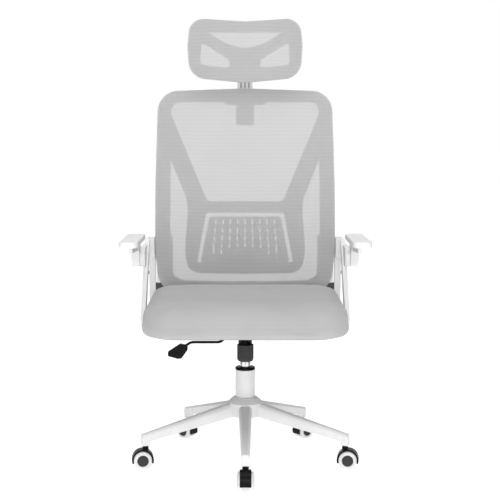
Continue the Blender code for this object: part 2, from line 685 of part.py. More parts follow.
def side_block():
    """The thick lower stretch of a side bar, where the arm support bolts on."""
    heights = (0.430, 0.472, 0.515, 0.557)
    front = [(back_y(0.236, z) + 0.0140, z) for z in heights]
    rear = [(back_y(0.236, z) + 0.0360, z) for z in reversed(heights)]
    return [prism(front + rear, 0.1915, 0.2340, "X"), prism(front + rear, -0.2340, -0.1915, "X")]


def back_frame():
    part = add_part("back_frame", back_slab(FRAME_THICKNESS, FRAME_FRONT),
                    white_plastic("back_frame"))
    low, high = 0.0, 0.4
    keep_inside(part, prism(back_outline(0.990), low, high, "Y"))
    lumbar_opening = rounded([(0.1030, 0.6160, 0.008), (0.1275, 0.4840, 0.006),
                              (-0.1275, 0.4840, 0.006), (-0.1030, 0.6160, 0.008)], 4)
    for outline in (upper_window(), lower_window(), lumbar_opening):
        cut(part, prism(outline, low, high, "Y"))
    fuse(part, joined(side_block()))

    tab = [(back_y(0, 0.847) + 0.0040, 0.847), (back_y(0, 0.925) + 0.0040, 0.925),
           (post_front(0.925) + POST_THICKNESS + 0.0035, 0.925),
           (post_front(0.847) + POST_THICKNESS + 0.0035, 0.847)]
    fuse(part, prism(tab, -0.0242, 0.0242, "X"))
    slot = [(post_front(z) + offset, z) for z, offset in
            ((0.800, -0.0004), (1.000, -0.0004), (1.000, POST_THICKNESS + 0.0004),
             (0.800, POST_THICKNESS + 0.0004))]
    cut(part, prism(slot, -POST_HALF_WIDTH - 0.0004, POST_HALF_WIDTH + 0.0004, "X"))

    pin_y, pin_z = lumbar_axis()
    lugs = [box((side * 0.0835 - 0.0030, pin_y - 0.0060, 0.4640),
                (side * 0.0835 + 0.0030, pin_y + 0.0060, pin_z + 0.0050)) for side in (-1, 1)]
    fuse(part, joined(lugs))
    cut(part, cylinder(0.0022, 0.1900, "X", (0, pin_y, pin_z), 12))


def back_rail():
    """The cross rail behind the back's lower bar. Its ends meet the rear struts of the arm supports."""
    low, high, half_width = 0.3880, 0.4295, 0.2377
    bar = bent_sheet(half_width + 0.004, low - 0.004, high + 0.004, lambda x, z: back_y(x, z) + 0.0172,
                     0.0095, 12, 2)
    part = add_part("back_rail", bar, black_plastic("back_rail"))
    keep_inside(part, box((-half_width, 0.0, low), (half_width, 0.4, high)))


def back_mesh():
    part = add_part("back_mesh", back_slab(MESH_THICKNESS, 0.0), grey_fabric("back_mesh"))
    keep_inside(part, prism(back_outline(), 0.0, 0.4, "Y"))


def lumbar_axis():
    return back_y(0, 0.4885) + 0.0125, 0.4885


def lumbar_slots():
    """Nine columns of short slots in rows that fan out downwards. The outer columns reach further down."""
    rows = ((0.5980, 0.0127), (0.5763, 0.0142), (0.5555, 0.0142))
    lowest = (((0.5352, 0.0100),), ((0.5352, 0.0100),), ((0.5352, 0.0130),),
              ((0.5352, 0.0125), (0.5170, 0.0110)), ((0.5352, 0.0270),))
    shapes = []
    for column in range(-4, 5):
        for top, length in rows + lowest[abs(column)]:
            middle = top - length / 2
            spread = 0.0193 * (1 + 1.05 * (0.598 - middle))
            slot = box((-0.0018, 0.10, -length / 2), (0.0018, 0.30, length / 2))
            lean = Matrix.Rotation(0.020 * column, 4, "Y")
            shapes.append(moved(slot, Matrix.Translation((spread * column, 0, middle)) @ lean))
    return joined(shapes)


def lumbar():
    """A springy plate that hangs on a pin between two lugs at the foot of the yoke."""
    pin_y, pin_z = lumbar_axis()
    to_axis = Matrix.Translation((0, -pin_y, -pin_z))
    slab = bent_sheet(0.130, 0.470, 0.620, lambda x, z: back_y(x, z) + 0.0035, 0.0070, 8, 5)
    part = add_part("lumbar_pad", moved(slab, to_axis), white_plastic("lumbar_pad"), (0, pin_y, pin_z))
    outline = rounded([(0.0940, 0.6060, 0.009), (0.1180, 0.4855, 0.006), (-0.1180, 0.4855, 0.006),
                       (-0.0940, 0.6060, 0.009)], 4)
    world = (0, 0, 0)
    keep_inside(part, prism(outline, 0.0, 0.4, "Y"), world)
    cut(part, joined([box((side * 0.0835 - 0.0040, 0.10, 0.4700), (side * 0.0835 + 0.0040, 0.30, 0.4960))
                      for side in (-1, 1)]), world)
    fuse(part, cylinder(0.0040, 0.1580, "X", (0, pin_y, pin_z), 16), world)
    cut(part, cylinder(0.0022, 0.2000, "X", (0, pin_y, pin_z), 12), world)
    cut(part, lumbar_slots(), world)
    add_part("lumbar_pin", cylinder(0.0019, 0.1760, "X", (0, 0, 0), 12), bright_steel("lumbar_pin"),
             (0, pin_y, pin_z))


# ---------------------------------------------------------------- headrest

def head_y(x, z):
    return HEAD_Y + HEAD_LEAN * (z - HEAD_MIDDLE_Z) - HEAD_WRAP * (x / HEAD_HALF_WIDTH) ** 2


def head_outline(scale=1.0):
    half = [(0, 1.1215, 0), (0.1455, 1.1290, 0.040), (0.1520, 1.0550, 0.100), (0.1465, 0.9720, 0.046),
            (0, 0.9590, 0)]
    corners = [(x * scale, HEAD_MIDDLE_Z + (z - HEAD_MIDDLE_Z) * scale, radius)
               for x, z, radius in mirrored(half)]
    return rounded(corners, 6)


def lens_outline(half_width=0.0960, low=1.0517, high=1.0910, steps=14):
    """The headrest's upper window: straight along its top, with a bowed lower edge."""
    spans = [1 - 2 * i / steps for i in range(steps + 1)]
    return [Vector((half_width * span, low + (high - low) * abs(span) ** 1.8)) for span in spans]


def head_slab(depth, front):
    return bent_sheet(0.156, HEAD_BOTTOM - 0.010, HEAD_TOP + 0.010,
                      lambda x, z: head_y(x, z) + front, depth, 10, 4)


def headrest_post():
    """A flat bar that slides in the back's socket and ends in a barrel for the headrest's pin."""
    front = [(post_front(POST_LOW), POST_LOW, 0.002), (HEAD_PIVOT_Y + 0.0050, 0.9655, 0.030),
             (HEAD_PIVOT_Y - 0.0050, 1.0000, 0)]
    rear = [(HEAD_PIVOT_Y + 0.0060, 1.0040, 0), (post_front(0.9675) + POST_THICKNESS, 0.9675, 0.030),
            (post_front(POST_LOW) + POST_THICKNESS, POST_LOW, 0.002)]
    part = add_part("headrest_post", prism(rounded(front + rear, 4), -POST_HALF_WIDTH, POST_HALF_WIDTH,
                                           "X"), white_plastic("headrest_post"))
    fuse(part, cylinder(0.0085, 2 * POST_HALF_WIDTH - 0.0004, "X", (0, HEAD_PIVOT_Y, HEAD_PIVOT_Z), 20))
    cut(part, cylinder(0.0030 + GAP, 0.0600, "X", (0, HEAD_PIVOT_Y, HEAD_PIVOT_Z), 12))
    groove = [(post_front(0.845) - 0.0010, 0.8450), (post_front(0.845) + 0.0015, 0.8450),
              (post_front(0.962) + 0.0015, 0.9620), (post_front(0.962) - 0.0010, 0.9620)]
    cut(part, joined([prism(groove, x - 0.0020, x + 0.0020, "X") for x in (-0.0105, 0.0, 0.0105)]))


def headrest():
    to_axis = Matrix.Translation((0, -HEAD_PIVOT_Y, -HEAD_PIVOT_Z))
    at = (0, HEAD_PIVOT_Y, HEAD_PIVOT_Z)
    world = (0, 0, 0)
    low, high = 0.1, 0.4
    frame = add_part("headrest_frame", moved(head_slab(0.0100, 0.0030), to_axis),
                     white_plastic("headrest_frame"), at)
    keep_inside(frame, prism(head_outline(0.985), low, high, "Y"), world)
    side = [(0.1150, 1.0650, 0.005), (0.1190, 1.0055, 0.012), (0.0405, 0.9985, 0.008),
            (0.0410, 1.0190, 0.010)]
    other_side = [(-x, z, radius) for x, z, radius in reversed(side)]
    for outline in (lens_outline(), rounded(side, 3), rounded(other_side, 3)):
        cut(frame, prism(outline, low, high, "Y"), world)
    root, tip = HEAD_PIVOT_Y - 0.0380, HEAD_PIVOT_Y + 0.0082
    ear = rounded([(root, 0.9900, 0), (tip, 0.9980, 0.0078), (tip, 1.0140, 0.0078), (root, 1.0220, 0)], 4)
    fuse(frame, joined([prism(ear, 0.0210, 0.0270, "X"), prism(ear, -0.0270, -0.0210, "X")]), world)
    cut(frame, cylinder(0.0030 + GAP, 0.0700, "X", at, 12), world)

    cloth = add_part("headrest_mesh", moved(head_slab(MESH_THICKNESS, 0.0), to_axis),
                     grey_fabric("headrest_mesh"), at)
    keep_inside(cloth, prism(head_outline(), low, high, "Y"), world)
    add_part("headrest_pin", cylinder(0.0030, 0.0560, "X", (0, 0, 0), 12), bright_steel("headrest_pin"), at)


# ---------------------------------------------------------------- arms

def arm_support_mesh():
    """The right arm's loop: a foot under the seat, two struts that meet in a cap, and the pivot's ear."""
    front_strut = rounded([(-0.012, 0.3440, 0.003), (0.026, 0.3440, 0), (0.1800, 0.5350, 0),
                           (0.1860, 0.5520, 0.006), (0.1560, 0.5520, 0.010), (-0.012, 0.3580, 0.006)], 3)
    rear_strut = rounded([(0.1700, 0.5520, 0), (0.1980, 0.5520, 0.008), (0.2160, 0.3440, 0.003),
                          (0.1900, 0.3440, 0), (0.1740, 0.5000, 0)], 3)
    ear = rounded([(0.0530, 0.4860, 0.022), (0.1360, 0.4860, 0), (0.1600, 0.5355, 0),
                   (0.0530, 0.5355, 0.022)], 5)
    added = [prism(rear_strut, 0.2380, 0.2545, "X"), box((0.2380, 0.1590, 0.4980), (0.2632, 0.1975, 0.5515),
                                                         0.003, 2),
             box((0.1500, -0.0118, 0.3440), (0.2632, 0.2155, 0.3497)), prism(ear, 0.2560, 0.2683, "X")]
    hole = cylinder(ARM_PIN_RADIUS + GAP, 0.0500, "X", (0.2600, ARM_PIVOT_Y, ARM_PIVOT_Z), 16)
    return solved(prism(front_strut, 0.2520, 0.2635, "X"), added=added,
                  taken=[hole, rounding_cutter(0.2635, 0.5520, 0.0105)])


def rounding_cutter(x, z, radius, steps=5):
    """What is taken off to round an upper outer edge that runs along Y."""
    arc = [Vector((x - radius + radius * math.cos(a), z - radius + radius * math.sin(a)))
           for a in (math.pi / 2 * i / steps for i in range(steps + 1))]
    around = [Vector((x - radius, z + CLEAR)), Vector((x + CLEAR, z + CLEAR)),
              Vector((x + CLEAR, z - radius))]
    return prism(arc + around, -0.0500, 0.2500, "Y")


def arm_bracket_mesh():
    """The right arm's moving lever: a round block on the pivot and a web with a plate under the pad."""
    top = ARM_PAD_BOTTOM - GAP
    block = rounded([(0.0535, 0.4860, 0.022), (0.1035, 0.4860, 0.022), (0.1035, 0.5340, 0.022),
                     (0.0480, top, 0), (0.0180, top, 0), (0.0300, 0.5370, 0.008), (0.0535, 0.5200, 0)], 5)
    web = rounded([(0.0500, top, 0), (-0.1120, top, 0), (-0.1120, 0.5390, 0.003), (0.0500, 0.5300, 0)], 2)
    plate = box((0.2620, -0.1200, top - 0.0030), (0.2900, 0.0400, top))
    hole = cylinder(ARM_PIN_RADIUS + GAP, 0.0500, "X", (0.2800, ARM_PIVOT_Y, ARM_PIVOT_Z), 16)
    return solved(prism(block, 0.2692, 0.2895, "X"), added=[prism(web, 0.2722, 0.2808, "X"), plate],
                  taken=[hole])


def arm_pad_mesh():
    left, right = ARM_PAD_X - ARM_PAD_HALF_WIDTH, ARM_PAD_X + ARM_PAD_HALF_WIDTH
    outline = rounded([(right, ARM_PAD_REAR, 0.010), (right, ARM_PAD_FRONT, 0.016),
                       (left, ARM_PAD_FRONT, 0.016), (left, ARM_PAD_REAR, 0.010)], 4)
    form = bmesh.new()
    form.from_mesh(prism(outline, ARM_PAD_BOTTOM, ARM_PAD_TOP))
    rims = [edge for edge in form.edges
            if edge.calc_face_angle(0) > 1.0 and abs(edge.verts[0].co.z - edge.verts[1].co.z) < 0.0001]
    bmesh.ops.bevel(form, geom=rims, offset=0.0035, segments=2, profile=0.5, affect="EDGES")
    return to_mesh(form)


def mirror_image(mesh):
    copy = mesh.copy()
    copy.transform(Matrix.Diagonal((-1, 1, 1, 1)))
    copy.flip_normals()
    return copy


def arms():
    support, bracket, pad = arm_support_mesh(), arm_bracket_mesh(), arm_pad_mesh()
    pin = cylinder(ARM_PIN_RADIUS, 0.0325, "X", (0.2728, ARM_PIVOT_Y, ARM_PIVOT_Z), 16)
    axis = (0, ARM_PIVOT_Y, ARM_PIVOT_Z)
    to_axis = Matrix.Translation((0, -ARM_PIVOT_Y, -ARM_PIVOT_Z))
    for side, shape in (("right", lambda mesh: mesh.copy()), ("left", mirror_image)):
        add_part(f"arm_support_{side}", shape(support), white_plastic(f"arm_support_{side}"))
        add_part(f"arm_pin_{side}", moved(shape(pin), to_axis), bright_steel(f"arm_pin_{side}"), axis)
        add_part(f"arm_bracket_{side}", moved(shape(bracket), to_axis),
                 white_plastic(f"arm_bracket_{side}"), axis)
        add_part(f"arm_pad_{side}", moved(shape(pad), to_axis), white_plastic(f"arm_pad_{side}"), axis)


# ---------------------------------------------------------------- the whole chair

clear_scene()
parts = new_collection("office_chair")
cutters = new_collection("cutters")
star_base()
casters()
gas_column()
mechanism()
seat()
back_frame()
back_rail()
back_mesh()
lumbar()
headrest_post()
headrest()
arms()
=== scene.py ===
"""The looks of a swivel office chair with a mesh back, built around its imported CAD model.

Metres, +Z up. The chair faces -Y, and +X is on the right of someone who looks at its front.
"""
import json
import math

import bmesh
import bpy
from mathutils import Matrix, Vector


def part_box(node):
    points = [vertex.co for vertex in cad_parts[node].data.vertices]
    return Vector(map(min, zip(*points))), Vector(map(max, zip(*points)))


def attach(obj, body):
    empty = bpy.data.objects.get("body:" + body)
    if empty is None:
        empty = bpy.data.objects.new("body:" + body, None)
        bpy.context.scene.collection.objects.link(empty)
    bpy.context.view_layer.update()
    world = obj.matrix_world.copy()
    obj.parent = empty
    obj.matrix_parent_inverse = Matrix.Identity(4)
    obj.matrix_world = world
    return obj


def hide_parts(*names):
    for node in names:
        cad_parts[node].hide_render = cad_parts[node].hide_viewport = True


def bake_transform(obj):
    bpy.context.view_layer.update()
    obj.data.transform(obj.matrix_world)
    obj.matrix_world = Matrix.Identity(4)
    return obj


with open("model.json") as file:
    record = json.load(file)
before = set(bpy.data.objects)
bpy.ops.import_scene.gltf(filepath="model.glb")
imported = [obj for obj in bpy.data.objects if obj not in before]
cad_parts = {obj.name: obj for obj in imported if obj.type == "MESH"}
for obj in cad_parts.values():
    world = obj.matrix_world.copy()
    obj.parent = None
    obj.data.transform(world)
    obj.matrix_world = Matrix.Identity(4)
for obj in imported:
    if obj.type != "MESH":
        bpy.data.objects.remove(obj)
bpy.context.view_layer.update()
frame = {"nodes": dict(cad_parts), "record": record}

TAU = math.tau

# The back and the headrest are sheets bent over the same surfaces as their CAD solids
BACK_Y, BACK_Z, BACK_LEAN, BACK_BEND = 0.178, 0.560, 0.26, 0.12
BACK_WRAP, BACK_HALF = 0.026, 0.236
HEAD_Y, HEAD_Z, HEAD_LEAN, HEAD_WRAP, HEAD_HALF = 0.228, 1.045, 0.10, 0.026, 0.150
POST_LEAN = 0.2457          # the post goes back this much for each metre up
WEAVE_FRONT = 0.0010        # the woven sheet's depth in its CAD solid
CROWN = 0.0030              # how far the seat's middle stands above its top ring
SEAT_INSET = 0.002          # the cushion's start shape is this much smaller all round
FRONT_CORNER, REAR_CORNER = 0.075, 0.052    # the seat's corners, seen from above


# ---------------------------------------------------------------- materials

class Shade:
    """A Principled material fed by node chains that read object coordinates."""

    def __init__(self, name, **values):
        self.material = bpy.data.materials.new(name)
        self.material.use_nodes = True
        self.nodes = self.material.node_tree.nodes
        self.links = self.material.node_tree.links
        self.shader = self.nodes["Principled BSDF"]
        for socket, value in values.items():
            self.shader.inputs[socket.replace("_", " ")].default_value = value
        self.place = self.nodes.new("ShaderNodeTexCoord").outputs["Object"]

    def put(self, kind, inputs=(), output=0, **settings):
        node = self.nodes.new("ShaderNode" + kind)
        for key, value in settings.items():
            setattr(node, key, value)
        for socket, value in dict(inputs).items():
            if isinstance(value, bpy.types.NodeSocket):
                self.links.new(value, node.inputs[socket])
            else:
                node.inputs[socket].default_value = value
        return node.outputs[output]

    def math(self, operation, a, b=0.0, c=0.0):
        return self.put("Math", {0: a, 1: b, 2: c}, operation=operation)

    def noise(self, scale, detail=2.0, stretch=(1, 1, 1)):
        spread = self.put("Mapping", {"Vector": self.place, "Scale": stretch})
        return self.put("TexNoise", {"Vector": spread, "Scale": scale, "Detail": detail})

    def ranged(self, value, low, high):
        return self.put("MapRange", {"Value": value, "From Min": 0.3, "From Max": 0.7,
                                     "To Min": low, "To Max": high})

    def axes(self):
        split = self.nodes.new("ShaderNodeSeparateXYZ")
        self.links.new(self.place, split.inputs[0])
        return split.outputs

    def wave(self, value, pitch, shift=0.0):
        """A sine of the value with that pitch in metres, from 0 to 1."""
        turned_by = self.math("MULTIPLY_ADD", value, TAU / pitch, shift)
        return self.math("MULTIPLY_ADD", self.math("SINE", turned_by), 0.5, 0.5)

    def mixed(self, factor, first, second):
        return self.put("Mix", {0: factor, 6: (*first, 1), 7: (*second, 1)}, 2, data_type="RGBA")

    def feed(self, socket, value):
        self.links.new(value, self.shader.inputs[socket])

    def bump(self, height, distance, strength=1.0, before=None):
        inputs = {"Height": height, "Distance": distance, "Strength": strength}
        if before is not None:
            inputs["Normal"] = before
        normal = self.put("Bump", inputs)
        self.feed("Normal", normal)
        return normal


def tone(colour, factor):
    return tuple(min(1.0, part * factor) for part in colour)


def plastic(name, colour, rough, grain=0.00006, spread=0.03, **values):
    """Moulded plastic: a fine spark-eroded grain, slow drifts of tone, and edges rubbed smoother."""
    shade = Shade(name, **values)
    cloud, fine = shade.noise(9.0, 3.0), shade.noise(1500.0, 2.0)
    shade.feed("Base Color", shade.mixed(shade.ranged(cloud, 0, 1), tone(colour, 1 - spread),
                                         tone(colour, 1 + spread)))
    worn = shade.put("NewGeometry", output="Pointiness")
    edge = shade.put("MapRange", {"Value": worn, "From Min": 0.52, "From Max": 0.62,
                                  "To Min": 0.0, "To Max": -0.10})
    smear = shade.ranged(shade.noise(60.0, 4.0), rough - 0.05, rough + 0.06)
    shade.feed("Roughness", shade.math("ADD", smear, edge))
    shade.bump(fine, grain)
    return shade.material


def painted_metal(name, colour, rough, metallic, scratch=0.00002, **values):
    """Steel with long faint drawing marks round or along it."""
    shade = Shade(name, Metallic=metallic, **values)
    marks = shade.noise(900.0, 2.0, (1, 1, 0.02))
    patches = shade.noise(25.0, 3.0)
    shade.feed("Base Color", shade.mixed(shade.ranged(patches, 0, 1), tone(colour, 0.90), colour))
    shade.feed("Roughness", shade.ranged(marks, rough * 0.75, rough * 1.35))
    shade.bump(marks, scratch)
    return shade.material


def seat_cloth():
    """A knitted cover: rows of small loops, a soft sheen and a slow drift of tone.

    The rows run outwards over the crown and on down the sides, so they keep their pitch round the edges."""
    shade = Shade("seat_knit", Roughness=0.86, Sheen_Weight=0.25, Sheen_Roughness=0.5,
                  Specular_IOR_Level=0.25)
    x, y, z = shade.axes()
    down = shade.math("SUBTRACT", shade.math("ABSOLUTE", shade.math("ADD", y, 0.05)), z)
    across = shade.math("SUBTRACT", shade.math("ABSOLUTE", x), z)
    rows = shade.wave(down, 0.0030)
    loops = shade.wave(shade.math("MULTIPLY_ADD", down, 0.5, across), 0.0024)
    back_loops = shade.wave(shade.math("MULTIPLY_ADD", down, -0.5, across), 0.0024)
    knit = shade.math("MULTIPLY", shade.math("MAXIMUM", loops, back_loops), rows)
    cloud = shade.noise(11.0, 3.0)
    fuzz = shade.noise(700.0, 3.0)
    drift = shade.mixed(shade.ranged(cloud, 0, 1), (0.460, 0.460, 0.463), (0.498, 0.498, 0.500))
    dark = shade.put("Mix", {0: shade.math("MULTIPLY_ADD", knit, -0.30, 0.30), 6: drift,
                             7: (0.30, 0.30, 0.305, 1)}, 2, data_type="RGBA")
    shade.feed("Base Color", dark)
    shade.feed("Roughness", shade.ranged(fuzz, 0.78, 0.94))
    shade.bump(fuzz, 0.00015, 0.6, shade.bump(knit, 0.00035))
    return shade.material


def open_weave():
    """Open elastic mesh: flat rows of yarn over thin upright threads, with the gaps left see-through."""
    shade = Shade("open_weave", Roughness=0.62, Sheen_Weight=0.15, Specular_IOR_Level=0.3)
    x, _, z = shade.axes()
    waver = shade.math("MULTIPLY_ADD", shade.noise(30.0, 2.0), 0.0010, z)
    rows = shade.wave(waver, 0.0036)
    fine_rows = shade.wave(z, 0.0018)
    threads = shade.wave(x, 0.0016)
    yarn = shade.math("MAXIMUM", rows, shade.math("MULTIPLY", threads, fine_rows))
    cloud = shade.noise(8.0, 2.0)
    light = shade.mixed(shade.ranged(cloud, 0, 1), (0.500, 0.500, 0.502), (0.528, 0.528, 0.530))
    shade.feed("Base Color", shade.put("Mix", {0: rows, 6: (0.452, 0.452, 0.455, 1), 7: light}, 2,
                                       data_type="RGBA"))
    shade.feed("Alpha", shade.math("MULTIPLY_ADD", yarn, 0.18, 0.68))
    shade.feed("Roughness", shade.ranged(shade.noise(500.0), 0.52, 0.72))
    shade.bump(yarn, 0.0002)
    return shade.material


MATERIALS = {
    "white_nylon": plastic("nylon", (0.80, 0.80, 0.80), 0.38),
    "white_plastic": plastic("shell", (0.80, 0.80, 0.80), 0.42),
    "white_paint": painted_metal("paint", (0.80, 0.80, 0.80), 0.30, 0.0, 0.00001, Coat_Weight=0.3),
    "white_tyre": plastic("tyre", (0.79, 0.79, 0.785), 0.50, 0.00004),
    "arm_pad_skin": plastic("pad_skin", (0.82, 0.82, 0.82), 0.48, 0.00010),
    "black_plastic": plastic("black", (0.004, 0.004, 0.0043), 0.34, 0.00004, 0.15,
                             Specular_IOR_Level=0.12),
    "black_steel": painted_metal("black_steel", (0.005, 0.005, 0.0054), 0.30, 0.2,
                                 Specular_IOR_Level=0.15),
    "bright_steel": painted_metal("bright_steel", (0.62, 0.62, 0.63), 0.22, 1.0),
    "chrome_steel": painted_metal("chrome", (0.70, 0.70, 0.71), 0.10, 1.0, 0.000006),
    "seat_fabric": seat_cloth(),
    "back_fabric": open_weave(),
    # The caster hub caps' own dark grey; the same grey on the line behind the headrest's lower edge is
    # painted shade.
    "cap_grey_and_gap_shade": plastic("cap_grey_and_gap_shade", (0.036, 0.036, 0.038), 0.45, 0.00004, 0.06,
                        Specular_IOR_Level=0.25),
    # Painted shade: a dark grey for the back rail, the line under the cushion's edge and the lines by the
    # back's lower sides, standing in for the shade there.
    "painted_shade_grey": plastic("painted_shade_grey", (0.105, 0.105, 0.107), 0.55, 0.00006, 0.08,
                         Specular_IOR_Level=0.2),
    # Painted shade: a mid grey for strips in the post's grooves, standing in for the shade inside them.
    "painted_groove_shade": plastic("painted_groove_shade", (0.33, 0.33, 0.335), 0.45, 0.00004, 0.05),
    "knob_grey": plastic("knob_grey", (0.036, 0.036, 0.038), 0.50, 0.00006, 0.08,
                         Specular_IOR_Level=0.25),
}


# ---------------------------------------------------------------- meshes

def add(name, mesh, body, slot, material=None, replaces=(), smooth=True):
    """A named piece that rides on a body, when one is given, and may stand for CAD nodes."""
    piece = bpy.data.objects.new(name, mesh)
    bpy.context.scene.collection.objects.link(piece)
    mesh.materials.clear()
    mesh.materials.append(MATERIALS[material or slot])
    for face in mesh.polygons:
        face.use_smooth = smooth
    if body:
        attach(piece, body)
    if replaces:
        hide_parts(*replaces)
    return piece


def to_mesh(form):
    bmesh.ops.recalc_face_normals(form, faces=form.faces)
    mesh = bpy.data.meshes.new("mesh")
    form.to_mesh(mesh)
    form.free()
    return mesh


def grid_mesh(rings, closed_ends=True, loop=True):
    """A skin over rings of points. Each ring has the same number of points."""
    form = bmesh.new()
    verts = [[form.verts.new(point) for point in ring] for ring in rings]
    count = len(rings[0])
    for low, high in zip(verts, verts[1:]):
        for i in range(count if loop else count - 1):
            j = (i + 1) % count
            form.faces.new((low[i], low[j], high[j], high[i]))
    if closed_ends:
        form.faces.new(list(reversed(verts[0])))
        form.faces.new(verts[-1])
    return to_mesh(form)


def turned(profile, steps=48, ribs=0, depth=0.0, ribbed=(0, 0)):
    """A closed solid turned about Z from (radius, height) points that start and end on the axis.

    Ribs cut grooves of that depth in the points whose height is inside ribbed."""
    form = bmesh.new()
    rings = []
    for radius, height in profile:
        if radius < 1e-6:
            rings.append([form.verts.new((0, 0, height))])
            continue
        ring = []
        for i in range(steps):
            here = radius
            if ribs and ribbed[0] <= height <= ribbed[1]:
                here -= depth * (0.5 + 0.5 * math.cos(TAU * ribs * i / steps))
            ring.append(form.verts.new((here * math.cos(TAU * i / steps), here * math.sin(TAU * i / steps),
                                        height)))
        rings.append(ring)
    for low, high in zip(rings, rings[1:]):
        for i in range(steps):
            j = (i + 1) % steps
            if len(low) == 1:
                form.faces.new((low[0], high[j], high[i]))
            elif len(high) == 1:
                form.faces.new((low[i], low[j], high[0]))
            else:
                form.faces.new((low[i], low[j], high[j], high[i]))
    return to_mesh(form)


def smooth_tube(points, radius, sides=12, closed=False):
    """A round tube along points, closed at both ends or joined into a loop."""
    points = [Vector(p) for p in points]
    count = len(points)
    rings = []
    side = None
    for i, point in enumerate(points):
        before = points[i - 1] if closed or i else point
        after = points[(i + 1) % count] if closed or i < count - 1 else point
        along = (after - before).normalized()
        if side is None:
            side = along.orthogonal().normalized()
        side = (side - along * side.dot(along)).normalized()
        other = along.cross(side)
        rings.append([point + radius * (math.cos(TAU * k / sides) * side + math.sin(TAU * k / sides) * other)
                      for k in range(sides)])
    if closed:
        rings.append(rings[0])
        mesh = grid_mesh(rings, False)
        return welded(mesh)
    return grid_mesh(rings)


def welded(mesh, distance=0.00002):
    form = bmesh.new()
    form.from_mesh(mesh)
    bmesh.ops.remove_doubles(form, verts=form.verts, dist=distance)
    return to_mesh(form)


def rounded(corners, segments=8):
    """A closed outline through (x, y, radius) corners, with each corner rounded to its radius."""
    outline = []
    for i, (x, y, radius) in enumerate(corners):
        here = Vector((x, y))
        if radius <= 0:
            outline.append(here)
            continue
        before = (Vector(corners[i - 1][:2]) - here).normalized()
        after = (Vector(corners[(i + 1) % len(corners)][:2]) - here).normalized()
        half = math.acos(max(-1.0, min(1.0, before.dot(after)))) / 2
        centre = here + (before + after).normalized() * radius / math.sin(half)
        start = here + before * radius / math.tan(half) - centre
        end = here + after * radius / math.tan(half) - centre
        sweep = math.atan2(start.x * end.y - start.y * end.x, start.dot(end))
        for step in range(segments + 1):
            outline.append(centre + Matrix.Rotation(sweep * step / segments, 2) @ start)
    return outline


def even(outline, spacing):
    """The same closed outline with points about that far apart."""
    points = []
    for here, after in zip(outline, outline[1:] + outline[:1]):
        steps = max(1, round((after - here).length / spacing))
        points += [here.lerp(after, step / steps) for step in range(steps)]
    return points


def even_run(points, spacing):
    """An open run of points about that far apart along the given ones."""
    run = [points[0]]
    for here, after in zip(points, points[1:]):
        steps = max(1, round((after - here).length / spacing))
        run += [here.lerp(after, (step + 1) / steps) for step in range(steps)]
    return run


def mirrored(half):
    return half + [(-x, y, radius) for x, y, radius in reversed(half) if x > 0]


# ---------------------------------------------------------------- the CAD nodes that stay

def soften(node, width):
    """Welds a CAD node's facets and rounds its edges with modifiers, which leave its mesh as it is."""
    target = frame["nodes"][node]
    for face in target.data.polygons:
        face.use_smooth = True
    if target.data.attributes.get("custom_normal"):
        target.data.attributes.remove(target.data.attributes["custom_normal"])
    weld = target.modifiers.new("Weld", "WELD")
    weld.merge_threshold = 0.00002
    flat = target.modifiers.new("Flat", "DECIMATE")
    flat.decimate_type = "DISSOLVE"
    flat.angle_limit = math.radians(0.6)
    if width:
        edge = target.modifiers.new("Edge", "BEVEL")
        edge.width = width
        edge.segments = 2
        edge.limit_method = "ANGLE"
        edge.angle_limit = math.radians(38)
        edge.miter_outer = "MITER_ARC"
    target.modifiers.new("Normals", "WEIGHTED_NORMAL").keep_sharp = True


def dress_cad():
    """Gives each CAD node its slot's finish and softens its edges."""
    slots = {row["node"]: row["material_slot"] for row in frame["record"]["subparts"]}
    widths = {"star_base": 0.0016, "back_frame": 0.0018, "headrest_frame": 0.0016, "lumbar_pad": 0.0006,
              "tilt_plate": 0.0005, "mechanism_housing": 0.0008, "headrest_post": 0.0006}
    for name, target in frame["nodes"].items():
        slot = slots[name]
        target.data.materials.clear()
        # The back rail is a real part, but its dark grey is painted shade for the shadowed wedge behind the
        # back's lower corners.
        target.data.materials.append(MATERIALS["painted_shade_grey" if name == "back_rail" else slot])
        width = widths.get(name, 0.0008)
        if name.startswith("arm_support") or name.startswith("arm_bracket"):
            width = 0.0014
        if name.startswith("arm_pad"):
            width = 0.0006
        soften(name, width)


# ---------------------------------------------------------------- soft parts

def solved_cushion(piece, pinned_below, cap):
    """Swells a closed piece with the cloth solver. No point moves by more than cap."""
    scene = bpy.context.scene
    rest = [v.co.copy() for v in piece.data.vertices]
    group = piece.vertex_groups.new(name="held")
    for v in piece.data.vertices:
        if v.co.z < pinned_below:
            group.add([v.index], 1.0, "REPLACE")
    cloth = piece.modifiers.new("Cloth", "CLOTH")
    settings = cloth.settings
    settings.quality = 5
    settings.mass = 0.3
    settings.tension_stiffness = settings.compression_stiffness = 15
    settings.bending_stiffness = 2.0
    settings.use_pressure = True
    settings.uniform_pressure_force = 4.0
    settings.vertex_group_mass = "held"
    settings.effector_weights.gravity = 0.0
    cloth.point_cache.frame_end = 20
    for step in range(1, 21):
        scene.frame_set(step)
    solved = piece.evaluated_get(bpy.context.evaluated_depsgraph_get()).data
    moved = [v.co.copy() for v in solved.vertices]
    piece.modifiers.remove(cloth)
    scene.frame_set(1)
    for v, old, new in zip(piece.data.vertices, rest, moved):
        shift = new - old
        v.co = old + shift * min(1.0, cap / max(shift.length, 1e-9))


def bulge(share, reach, power):
    """How far a rounded edge has drawn in, from 0 where it starts to reach where share is 1."""
    return reach * (1 - (1 - share ** power) ** (1 / power))


